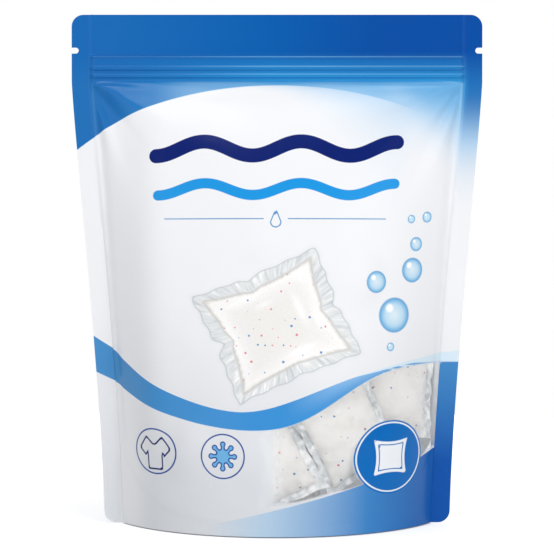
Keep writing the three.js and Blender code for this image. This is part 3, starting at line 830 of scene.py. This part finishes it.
def printed_pod(tree, under):
    """The drawn pod: a soft shadow, a clear rim with creases that run outwards, and a pillow.

    The creases are noise on the direction from the pod's middle, about 1.5 mm apart at the rim.
    """
    flat = flat_place(tree, DRAWN_POD)
    wrap = attribute(tree, "drawn_wrap")
    colour = lay_ink(tree, under, "#e2e5ea", wrap, 3.0)
    fan = vectors(tree, "SCALE", vectors(tree, "NORMALIZE", flat), Scale=14.0)
    bent = vectors(tree, "MULTIPLY_ADD", flat, (0.09, 0.09, 0.09), fan)
    creases = noise(tree, bent, 1.0, Roughness=0.6)
    rim = colour_run(tree, creases, ((0.32, "#cacfd3"), (0.44, "#dfe2e4"), (0.58, "#e9ebec"),
                                     (0.68, "#ffffff")))
    colour = lay_ink(tree, colour, "#c6cbcf", wrap, 0.25)
    colour = lay_ink(tree, colour, rim, less(tree, wrap, 0.6), 0.5)
    edge = maths(tree, "MULTIPLY_ADD", creases, 2.2, attribute(tree, "drawn_pillow"))
    colour = lay_ink(tree, colour, "#cfcdca", less(tree, edge, 0.3), 0.8)
    edge = less(tree, edge, 1.1)
    body = colour_run(tree, remap(tree, edge, 0.0, 14.0),
                      ((0.0, "#e2dfdb"), (0.1, "#fbfaf9"), (0.3, "#f8f6f5"), (0.6, "#f3f1ef"),
                       (1.0, "#f1efec")))
    body = mix(tree, attribute(tree, "drawn_shine"), body, "#ffffff")
    cloud = remap(tree, noise(tree, flat, 0.9), 0.35, 0.65, 0.97, 1.01)
    body = vectors(tree, "SCALE", body, Scale=cloud)
    cells = add(tree, "ShaderNodeTexVoronoi", {"Vector": flat, "Scale": 0.23},
                voronoi_dimensions="2D")
    body = specks(tree, body, cells, ("#e58d96", "#5f97cb"), 0.0, (-0.12, 0.15))
    return lay_ink(tree, colour, body, edge, 0.6)


def printed_bubbles(tree, under):
    """Drawn bubbles: a blue rim that pales inwards, and a white glint."""
    place = add(tree, "ShaderNodeCombineXYZ", {0: attribute(tree, "bubble_x"),
                                               1: attribute(tree, "bubble_y")}).outputs[0]
    way = attribute(tree, "bubble")
    rim = colour_run(tree, way, ((0.0, "#4a98d3"), (0.15, "#86bfe6"), (0.4, "#bfdff3"),
                                 (1.0, "#e4f1fa")))
    glint = less(tree, 0.24, vectors(tree, "DISTANCE", place, (-0.32, 0.4, 0.0)))
    rim = lay_ink(tree, rim, "#ffffff", glint, 0.1)
    return lay_ink(tree, under, rim, way, 0.06)


def printed_splash(tree, under, ink):
    """A splash in its ring: a disc with eight arms, each a bar with a drop at its tip.

    The angle about the middle is folded on to half an arm; along that arm the way inside is the
    greatest of disc, bar and drop, with the corners between them filled.
    """
    flat = flat_place(tree, SPLASH)
    axes = axes_of(tree, flat)
    turn = maths(tree, "PINGPONG", maths(tree, "ARCTAN2", axes[1], axes[0]), math.pi / 8.0)
    out = vectors(tree, "LENGTH", flat)
    aside = times(tree, out, maths(tree, "SINE", turn))
    reach = times(tree, out, maths(tree, "COSINE", turn))
    bar = maths(tree, "MINIMUM", less(tree, 0.75, aside), less(tree, 5.8, reach))
    spot = add(tree, "ShaderNodeCombineXYZ", {0: aside, 1: reach}).outputs[0]
    tip = less(tree, 1.15, vectors(tree, "DISTANCE", spot, (0.0, 5.9, 0.0)))
    way = maths(tree, "SMOOTH_MAX", less(tree, 3.4, out), bar, 0.9)
    way = maths(tree, "SMOOTH_MAX", way, tip, 0.4)
    way = maths(tree, "MINIMUM", way, attribute(tree, "icon_ring"))
    colour = lay_ink(tree, under, "#6db3e3", way)
    return lay_ink(tree, colour, ink.line, less(tree, 0.3, maths(tree, "ABSOLUTE", way)))


def printed_figures(tree, under, ink):
    """The figures over the fields: waves, rule and drop, icons and badge."""
    colour = lay_ink(tree, under, ink.navy, attribute(tree, "deep_wave"))
    colour = lay_ink(tree, colour, ink.sky, attribute(tree, "light_wave"))
    line = less(tree, 0.25, maths(tree, "ABSOLUTE", attribute(tree, "rule")))
    line = maths(tree, "MINIMUM", line, attribute(tree, "rule_ends"))
    colour = lay_ink(tree, colour, ink.ribbon_left, line)
    colour = outline(tree, colour, ink.ribbon_left, "drop", 0.3)
    colour = outline(tree, colour, ink.line, "icon_ring", 0.36)
    colour = outline(tree, colour, ink.navy, "shirt", 0.42)
    colour = printed_splash(tree, colour, ink)
    colour = lay_ink(tree, colour, ink.badge, attribute(tree, "badge"))
    colour = outline(tree, colour, "#eef4fa", "badge", 0.4, 1.3)
    colour = lay_ink(tree, colour, "#f2f6fa", attribute(tree, "badge_pillow"))
    return outline(tree, colour, ink.badge, "badge_pillow", 0.3, 1.9)


def film_bump(tree):
    """Fine unevenness of a filled film: slack of about 14 mm and creases of about 4 mm."""
    place = object_place(tree)
    slack = bump(tree, noise(tree, place, 70.0), 0.12, 0.0012)
    return bump(tree, noise(tree, place, 250.0, 1.0), 0.05, 0.0004, Normal=slack)


def printed_film_material():
    """Gravure-printed PET laminated to polyethylene: smooth, satin, white under the inks."""
    ink = bpy.context.scene.pouch_print
    material, tree = new_material("printed_pet_laminate")
    colour = printed_bubbles(tree, printed_pod(tree, printed_fields(tree, ink)))
    share = window_share(tree)
    colour = printed_figures(tree, mix(tree, share, colour, ink.clear), ink)
    rough = remap(tree, noise(tree, object_place(tree), 45.0, 3.0), 0.0, 1.0, 0.2, 0.3)
    return surface(material, {
        "Base Color": colour, "Roughness": rough, "IOR": 1.5, "Specular IOR Level": 0.3,
        "Alpha": clear_cover(tree, share), "Normal": film_bump(tree)})


def film_lining_material():
    """Polyethylene lining: soft white, a little cloudy, clear where the window is.

    The inside glows faintly by painted light: an emission that stands in for daylight coming through
    the thin white film.
    """
    ink = bpy.context.scene.pouch_print
    material, tree = new_material("polyethylene_lining")
    cloud = noise(tree, object_place(tree), 120.0)
    colour = colour_run(tree, cloud, ((0.3, "#e2e5e9"), (0.7, ink.lining)))
    return surface(material, {
        "Base Color": colour, "Roughness": 0.45, "IOR": 1.51,
        # Painted light: a faint glow, not a lamp, for the light that comes through the film.
        "Alpha": clear_cover(tree, window_share(tree)), "Emission Color": colour,
        "Emission Strength": 0.12, "Normal": film_bump(tree)})


def gusset_film_material():
    """Plain blue-printed laminate of the gusset, its blue darker and lighter at random in soft
    patches.
    """
    ink = bpy.context.scene.pouch_print
    material, tree = new_material("gusset_pet_laminate")
    # The blue varies at random in soft patches.
    fold = noise(tree, object_place(tree), 60.0, 3.0)
    colour = colour_run(tree, fold, ((0.3, "#1f6ab4"), (0.7, ink.foot_middle)))
    return surface(material, {
        "Base Color": colour, "Roughness": 0.34, "IOR": 1.5, "Alpha": thin_cover(tree),
        "Normal": film_bump(tree)})


def zip_plastic_material():
    """Extruded low-density polyethylene: milky, waxy, with faint lines along the run."""
    material, tree = new_material("extruded_polyethylene")
    run = add(tree, "ShaderNodeMapping", {"Vector": object_place(tree),
                                          "Scale": (8.0, 600.0, 600.0)}).outputs[0]
    draw = noise(tree, run, 1.0)
    colour = colour_run(tree, draw, ((0.3, "#dfe5ea"), (0.7, "#f1f4f6")))
    return surface(material, {
        "Base Color": colour, "Roughness": 0.32, "IOR": 1.51, "Subsurface Weight": 0.15,
        "Subsurface Radius": (0.002, 0.002, 0.002), "Normal": bump(tree, draw, 0.2, 0.0002)})


def powder_material():
    """Washing powder packed tight under clear film: off-white, grainy, with coloured grains.

    The coloured grains are about 0.8 mm and a few millimetres apart; the white ones, 0.6 mm, are
    not drawn. The film over them gives the gloss and the fine creases.
    """
    pods = bpy.context.scene.pouch_pods
    material, tree = new_material("powder_under_film")
    place = object_place(tree)
    heap = noise(tree, place, 130.0, 4.0)
    tone = colour_run(tree, heap, ((0.35, pods.shade), (0.55, pods.powder)))
    colour = mix(tree, 0.35, pods.powder, tone)
    # Painted shade: the powder darkens towards the rim, where the pod thins into the crease.
    colour = mix(tree, attribute(tree, "crease_shade"), colour, pods.shade)
    cells = add(tree, "ShaderNodeTexVoronoi", {"Vector": place, "Scale": 310.0})
    colour = specks(tree, colour, cells, (pods.red, pods.blue), 0.3, (0.03, 0.23))
    crinkle = bump(tree, noise(tree, place, 170.0, 3.0, Distortion=1.2), 0.35, 0.0012)
    grain = bump(tree, noise(tree, place, 900.0, 1.0), 0.15, 0.0003, Normal=crinkle)
    return surface(material, {
        "Base Color": colour, "Roughness": 0.42, "IOR": 1.5, "Coat Weight": 0.9,
        "Coat Roughness": 0.15, "Subsurface Weight": 0.12,
        "Subsurface Radius": (0.002, 0.0018, 0.0016), "Normal": grain})


def pod_rim_material():
    """Two layers of clear water-soluble film, welded and crinkled; its grey to white with the
    crinkles is painted light and shade.
    """
    pods = bpy.context.scene.pouch_pods
    material, tree = new_material("soluble_film_rim")
    crinkle = noise(tree, object_place(tree), 170.0, 1.5, Distortion=0.8)
    # Painted light and shade: grey in the crinkles' hollows, white on their crests.
    colour = colour_run(tree, crinkle, ((0.32, "#d9dde0"), (0.5, pods.wrap), (0.66, "#fbfcfc")))
    return surface(material, {
        "Base Color": colour, "Roughness": 0.2, "IOR": 1.49,
        "Alpha": remap(tree, crinkle, 0.35, 0.65, 0.6, 0.95),
        "Normal": bump(tree, crinkle, 0.3, 0.0012)})


# Cells along a pod's side; they are fine where its middle lies past this place, by the window.
FINE_CELLS = 72
PLAIN_CELLS = 36
BY_WINDOW = -10.0


def node_points(name):
    """A CAD node's points in millimetres."""
    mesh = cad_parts[name].data
    points = np.empty(len(mesh.vertices) * 3, dtype=np.float32)
    mesh.vertices.foreach_get("co", points)
    return points.reshape(-1, 3).astype(float) / MM


def farthest(points, ways):
    """The point with the longest way."""
    return points[np.argmax(np.linalg.norm(ways, axis=1))]


def pod_place(name):
    """Middle, half size and axes of a CAD pod, from its four corners.

    The first corner is the point farthest from the mean, the next the one farthest from that;
    they end one diagonal. The point farthest from this diagonal and its opposite end the other.
    The axes lie half way between the diagonals, and the normal points to the front.
    """
    points = node_points(name)
    first = farthest(points, points - points.mean(axis=0))
    third = farthest(points, points - first)
    one = unit(third - first)
    aside = points - first
    second = farthest(points, aside - np.outer(aside @ one, one))
    fourth = farthest(points, points - second)
    other = unit(fourth - second)
    across = unit(one + other)
    normal = unit(np.cross(one, other))
    normal = normal if normal[1] < 0.0 else -normal
    axes = np.stack([across, normal, np.cross(across, normal)])
    middle = (first + second + third + fourth) / 4.0
    half = np.linalg.norm(third - first) / 2.0 / math.sqrt(2.0)
    return SimpleNamespace(middle=middle, half=half, axes=axes)


def pod_names():
    """The CAD pods in the order of their numbers."""
    return sorted(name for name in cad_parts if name.startswith("pod_"))


def pods_at_film(size, side):
    """Places on a film, along it and up it, of the pods that lean on it.

    The side is 1 for the front film and -1 for the back one, which is the front turned half round.
    """
    x, y, level = np.array([pod_place(name).middle for name in pod_names()]).T
    bend, radius = arc_bend(size, level)
    along = np.arctan2(x * side, radius * np.cos(bend) - y * side) * radius
    leaning = y * side < -5.0
    return np.stack([along, level], axis=-1)[leaning]


def press_inside(size, front, back):
    """Both faces of a pod, moved back together where they would come through the film.

    The room at a point is the depth of the film's arc there, less half a millimetre, and less the
    gutter beside the seal.
    """
    bend, radius = arc_bend(size, front[..., 2])
    angle = np.arcsin(np.clip(front[..., 0] / radius, -1.0, 1.0))
    gutter = 0.9 * bell(size.reach - np.abs(angle) * radius, 2.5, 4.0)
    clear = 0.5
    room = np.maximum(radius * (np.cos(angle) - np.cos(bend)) - gutter - clear, 0.0)
    excess = np.maximum(np.abs(front[..., 1]), np.abs(back[..., 1])) - room
    shift = np.sign(front[..., 1] + back[..., 1]) * np.maximum(excess, 0.0)
    step = shift[..., None] * np.array([0.0, 1.0, 0.0])
    return front - step, back - step


def pod_form(place, cells, seed):
    """Front and back face of a pod, and a share of painted shade that grows towards the rim, where
    the pod thins into its crease.

    Over a square from -1 to 1 the half thickness is the pod's times the product of two bows,
    each one less the square, to the power 0.6, inside the rim. The sides pull in by a parabola.
    The rim waves up and down along each side, and the pillow puckers where it meets the rim.
    """
    pods = bpy.context.scene.pouch_pods
    draw = np.random.default_rng(seed)
    turn = draw.uniform(0.0, 6.28, 12)
    share = 1.0 - pods.flange / MM / place.half
    line = np.linspace(-1.0, 1.0, cells + 1)
    u, v = np.meshgrid(line, line)
    bow_u = np.clip(1.0 - (u / share) ** 2, 0.0, 1.0) ** 0.6
    bow_v = np.clip(1.0 - (v / share) ** 2, 0.0, 1.0) ** 0.6
    pull = 1.6 / place.half
    x = place.half * u * (1.0 - pull * (1.0 - v * v))
    z = place.half * v * (1.0 - pull * (1.0 - u * u))
    rim_u = np.clip((np.abs(u) - share) / (1.0 - share), 0.0, 1.0)
    rim_v = np.clip((np.abs(v) - share) / (1.0 - share), 0.0, 1.0)
    side_u = np.sign(u)
    side_v = np.sign(v)
    along_v = np.sin(z / 1.35 + turn[0] + side_u) + 0.6 * np.sin(z / 0.78 + turn[1] - side_u)
    along_u = np.sin(x / 1.45 + turn[2] + side_v) + 0.6 * np.sin(x / 0.83 + turn[3] - side_v)
    ruffle = pods.ruffle / MM * 0.6
    middle = ruffle * (rim_u * along_v * (1.0 - 0.6 * rim_v)
                       + rim_v * along_u * (1.0 - 0.6 * rim_u))
    pucker = (bell(np.abs(u), share, 0.16) * np.sin(z / 1.1 + turn[4])
              + bell(np.abs(v), share, 0.16) * np.sin(x / 1.2 + turn[5]))
    lumps = 1.0 + 0.05 * np.sin(x / 4.3 + turn[6] + z / 9.0) * np.sin(z / 5.1 + turn[7])
    thick = (pods.thickness - pods.weld) / MM / 2.0
    swell = thick * bow_u * bow_v * (1.0 + 0.16 * pucker) * lumps
    x = x + 0.35 * rim_u * side_u * np.sin(z / 2.3 + turn[8])
    z = z + 0.35 * rim_v * side_v * np.sin(x / 2.1 + turn[9])
    weld = pods.weld / MM / 2.0
    front = np.stack([x, middle + swell + weld, z], axis=-1) @ place.axes + place.middle
    back = np.stack([x, middle - swell - weld, z], axis=-1) @ place.axes + place.middle
    # Share of painted shade: 1 where the pod is thin at its rim, nought where it is full.
    crease_shade = np.clip(1.0 - swell / 3.0, 0.0, 1.0) ** 2
    outside = np.maximum(np.abs(u), np.abs(v)) > share + 0.001
    corners = [outside[:-1, :-1], outside[:-1, 1:], outside[1:, 1:], outside[1:, :-1]]
    return front, back, crease_shade, np.any(corners, axis=0)


def gusset_surface(size):
    """Upper and lower face of the gusset, half the film's thickness either side of its middle.

    Its columns are the film's own columns. Each climbs the inside of the front film to the weld,
    crosses the floor at the same x and goes down the back film. The floor is flat in the middle
    and its fold climbs to the sides by the way past the flat part to the power 1.5.
    """
    off_seal = 3.0
    clear = 0.5
    over_floor = 0.15
    columns = 121
    skirt_rows = 14
    floor_rows = 61
    along = np.linspace(-1.0, 1.0, columns) * (size.reach - off_seal)
    edge = film_arc(size, along[-1:], np.array([size.gusset_height]))[0][0]
    x_top = film_arc(size, along, np.full_like(along, size.gusset_height))[0]
    flat = size.gusset_flat / 2.0
    climb = np.clip((np.abs(x_top) - flat) / (edge - flat), 0.0, 1.0)
    fold = size.gusset_height * climb ** 1.5
    rim = np.maximum(gusset_rim(size, x_top / edge), fold)
    skirt_z = np.linspace(0.0, 1.0, skirt_rows)[:, None] * rim + over_floor
    skirt_x, skirt_depth, facing = film_arc(size, np.broadcast_to(along, skirt_z.shape), skirt_z)
    skirt_x = skirt_x - clear * np.sin(facing)
    skirt_y = skirt_depth - clear * np.cos(facing)
    lane = np.linspace(1.0, -1.0, floor_rows)[1:-1, None]
    floor_y = lane * skirt_y[-1]
    floor_x = np.broadcast_to(skirt_x[-1], floor_y.shape)
    floor_z = fold + (rim - fold) * smooth(0.62, 1.0, np.abs(lane)) + over_floor
    x = np.concatenate([skirt_x, floor_x, skirt_x[::-1]])
    y = np.concatenate([-skirt_y, -floor_y, skirt_y[::-1]])
    z = np.concatenate([skirt_z, floor_z, skirt_z[::-1]])
    middle = np.stack([x, y, z], axis=-1)
    normal = unit(np.cross(np.gradient(middle, axis=1), np.gradient(middle, axis=0)))
    half = size.film / 2.0 * normal
    return middle + half, middle - half


class POUCH_OT_films(bpy.types.Operator):
    """Builds the printed front film with its window and the plain back film"""

    bl_idname = "pouch.films"
    bl_label = "Films"

    def execute(self, context):
        size = film_sizes()
        along, height = film_grid(size)
        flat = np.stack([along / size.width + 0.5, height / size.height], axis=-1)
        materials = [printed_film_material(), film_lining_material()]
        for node, whole, side in (("front_panel", True, 1.0), ("back_panel", False, -1.0)):
            turned = np.array([side, side, 1.0])
            outer, inner = film_surface(size, along, height, pods_at_film(size, side))
            fields = print_fields(size, along, height, whole)
            piece = closed_sheet(node.replace("panel", "film"), outer * turned, inner * turned,
                                 materials, fields, flat)
            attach(piece, "root")
            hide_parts(node)
        return {"FINISHED"}


class POUCH_OT_gusset(bpy.types.Operator):
    """Builds the folded gusset that the pouch stands on"""

    bl_idname = "pouch.gusset"
    bl_label = "Gusset"

    def execute(self, context):
        upper, lower = gusset_surface(film_sizes())
        materials = [film_lining_material(), gusset_film_material()]
        piece = closed_sheet("gusset_film", upper, lower, materials)
        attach(piece, "root")
        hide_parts("bottom_gusset")
        return {"FINISHED"}


class POUCH_OT_zip(bpy.types.Operator):
    """Finishes the two tracks of the press-to-close zip"""

    bl_idname = "pouch.zip"
    bl_label = "Zip"

    def execute(self, context):
        material = zip_plastic_material()
        for name in ("zip_front_track", "zip_back_track"):
            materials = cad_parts[name].data.materials
            materials.clear()
            materials.append(material)
        return {"FINISHED"}


class POUCH_OT_pods(bpy.types.Operator):
    """Builds the pods of powder in their clear wrap"""

    bl_idname = "pouch.pods"
    bl_label = "Pods"

    def execute(self, context):
        size = film_sizes()
        materials = [powder_material(), pod_rim_material()]
        for number, name in enumerate(pod_names()):
            place = pod_place(name)
            cells = FINE_CELLS if place.middle[1] < BY_WINDOW else PLAIN_CELLS
            front, back, crease_shade, rim = pod_form(place, cells, number)
            front, back = press_inside(size, front, back)
            piece = closed_sheet("powder_" + name, front, back, materials,
                                 {"crease_shade": crease_shade}, cells=rim)
            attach(piece, "root")
            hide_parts(name)
        return {"FINISHED"}


class POUCH_OT_stage(bpy.types.Operator):
    """Sets the floor, the soft lamps, the white world and the camera"""

    bl_idname = "pouch.stage"
    bl_label = "Stage"

    def execute(self, context):
        stage = context.scene.pouch_stage
        context.scene.view_settings.view_transform = "Standard"
        self.set_world(context, stage)
        self.set_floor(context, stage)
        # Each lamp has its name, place, width and power, and whether mirrors show it.
        lamps = (("key_lamp", (0.74, -0.95, 0.32), 0.7, stage.key, False),
                 ("fill_lamp", (-0.72, -0.97, 0.32), 0.7, stage.fill, False),
                 ("back_lamp", (0.15, 1.15, 0.45), 0.9, stage.back, False),
                 ("left_top_lamp", (-0.22, -0.52, 0.86), 0.3, stage.top, True),
                 ("right_top_lamp", (0.20, -0.46, 0.91), 0.3, stage.top, True))
        for name, spot, width, power, mirrored in lamps:
            lamp = bpy.data.lights.new(name, "AREA")
            lamp.shape = "DISK"
            lamp.size = width
            lamp.energy = power
            holder = bpy.data.objects.new(name, lamp)
            holder.location = spot
            holder.visible_glossy = mirrored
            aim = np.array([0.0, 0.0, stage.aim]) - np.array(spot)
            pitch = math.acos(-aim[2] / np.linalg.norm(aim))
            holder.rotation_euler = (pitch, 0.0, math.atan2(-aim[0], aim[1]))
            context.scene.collection.objects.link(holder)
        camera = bpy.data.objects.new("camera", bpy.data.cameras.new("camera"))
        camera.data.lens = stage.lens
        camera.data.sensor_width = FULL_FRAME
        camera.location = (0.0, -stage.distance, stage.level)
        camera.rotation_euler = (stage.pitch, 0.0, 0.0)
        context.scene.collection.objects.link(camera)
        context.scene.camera = camera
        return {"FINISHED"}

    def white_ray(self, tree, backdrop):
        """1 for a ray that should meet plain white: from the camera, a mirror or clear film.

        A mirror's ray meets as much of it as the backdrop's share says.
        """
        path = add(tree, "ShaderNodeLightPath").outputs
        mirror = times(tree, path["Is Glossy Ray"], backdrop)
        share = maths(tree, "MAXIMUM", path["Is Camera Ray"], mirror)
        return maths(tree, "MAXIMUM", share, path["Is Transmission Ray"])

    def set_world(self, context, stage):
        """White to the camera, and to mirrors where the backdrop stands, at the back.

        Surfaces meet an even soft light. A mirror that faces the front meets the dim room there.
        """
        world = bpy.data.worlds.new("white_studio")
        world.use_nodes = True
        tree = world.node_tree
        tree.nodes.clear()
        axes = axes_of(tree, add(tree, "ShaderNodeTexCoord").outputs["Generated"])
        path = add(tree, "ShaderNodeLightPath").outputs
        room = remap(tree, path["Is Glossy Ray"], 0.0, 1.0, stage.world, stage.room)
        light = add(tree, "ShaderNodeBackground", {"Color": "#ffffff", "Strength": room})
        white = add(tree, "ShaderNodeBackground", {"Color": "#ffffff", "Strength": 1.0})
        seen = self.white_ray(tree, remap(tree, axes[1], -0.3, 0.5))
        both = add(tree, "ShaderNodeMixShader", {0: seen, 1: light.outputs[0], 2: white.outputs[0]})
        add(tree, "ShaderNodeOutputWorld", {"Surface": both.outputs[0]})
        context.scene.world = world

    def set_floor(self, context, stage):
        """A round matt white floor, lifted to white for the camera so that only shadow shows.

        The lift rises from the foot outwards, and there is none under the foot, which lies where x
        squared plus the square of |y| plus half the foot's radius is under that radius squared.
        """
        material, tree = new_material("matt_white_floor")
        place = object_place(tree)
        grain = noise(tree, place, 400.0)
        colour = colour_run(tree, grain, ((0.3, "#cfcfcf"), (0.7, stage.floor)))
        matt = add(tree, "ShaderNodeBsdfDiffuse", {"Color": colour})
        rise = remap(tree, vectors(tree, "LENGTH", place), 0.12, 0.45, 0.58, 1.0)
        size = film_sizes()
        radius = size.reach / size.foot_angle * MM
        foot = (0.0, radius * math.cos(size.foot_angle), 0.0)
        shifted = vectors(tree, "ADD", vectors(tree, "ABSOLUTE", place), foot)
        clear = remap(tree, vectors(tree, "LENGTH", shifted), radius - MM, radius + MM)
        seen = self.white_ray(tree, remap(tree, axes_of(tree, place)[1], -0.05, 0.2))
        strength = times(tree, times(tree, seen, rise), clear)
        lift = add(tree, "ShaderNodeEmission", {"Color": "#ffffff", "Strength": strength})
        both = add(tree, "ShaderNodeAddShader", {0: matt.outputs[0], 1: lift.outputs[0]})
        add(tree, "ShaderNodeOutputMaterial", {"Surface": both.outputs[0]})
        turns = np.linspace(0.0, 2.0 * math.pi, 97)[:-1]
        turn, ring = np.meshgrid(turns, np.array([0.02, 0.3, 0.6]))
        level = np.full_like(ring, -stage.gap)
        points = np.stack([ring * np.cos(turn), ring * np.sin(turn), level], axis=-1)
        index = np.arange(points.shape[0] * points.shape[1]).reshape(points.shape[:2])
        faces = quads(np.concatenate([index, index[:, :1]], axis=1))[:, ::-1]
        mesh = bpy.data.meshes.new("floor")
        mesh.from_pydata(points.reshape(-1, 3), [], [*faces.tolist(), index[0].tolist()])
        mesh.materials.append(material)
        floor = bpy.data.objects.new("floor", mesh)
        context.scene.collection.objects.link(floor)


class POUCH_PT_panel(bpy.types.Panel):
    """Lists the pouch's steps and settings in the 3D view's sidebar"""

    bl_idname = "POUCH_PT_panel"
    bl_label = "Laundry powder pouch"
    bl_space_type = "VIEW_3D"
    bl_region_type = "UI"
    bl_category = "Pouch"

    def draw(self, context):
        for operator in OPERATORS:
            self.layout.operator(operator.bl_idname)
        for name in GROUPS:
            box = self.layout.box()
            settings = getattr(context.scene, name)
            for key in settings.__annotations__:
                box.prop(settings, key)


GROUPS = {"pouch_film": PouchFilm, "pouch_print": PouchPrint, "pouch_pods": PouchPods,
          "pouch_stage": PouchStage}
OPERATORS = (POUCH_OT_films, POUCH_OT_gusset, POUCH_OT_zip, POUCH_OT_pods, POUCH_OT_stage)


def register():
    """Registers the classes and hangs the settings on the scene."""
    for kind in (*GROUPS.values(), *OPERATORS, POUCH_PT_panel):
        bpy.utils.register_class(kind)
    for name, group in GROUPS.items():
        setattr(bpy.types.Scene, name, bpy.props.PointerProperty(type=group))


def unregister():
    """Takes the settings and the classes away again."""
    for name in GROUPS:
        delattr(bpy.types.Scene, name)
    for kind in reversed((*GROUPS.values(), *OPERATORS, POUCH_PT_panel)):
        bpy.utils.unregister_class(kind)


def main():
    register()
    bpy.ops.pouch.stage()
    bpy.ops.pouch.films()
    bpy.ops.pouch.gusset()
    bpy.ops.pouch.zip()
    bpy.ops.pouch.pods()


if __name__ == "__main__":
    main()
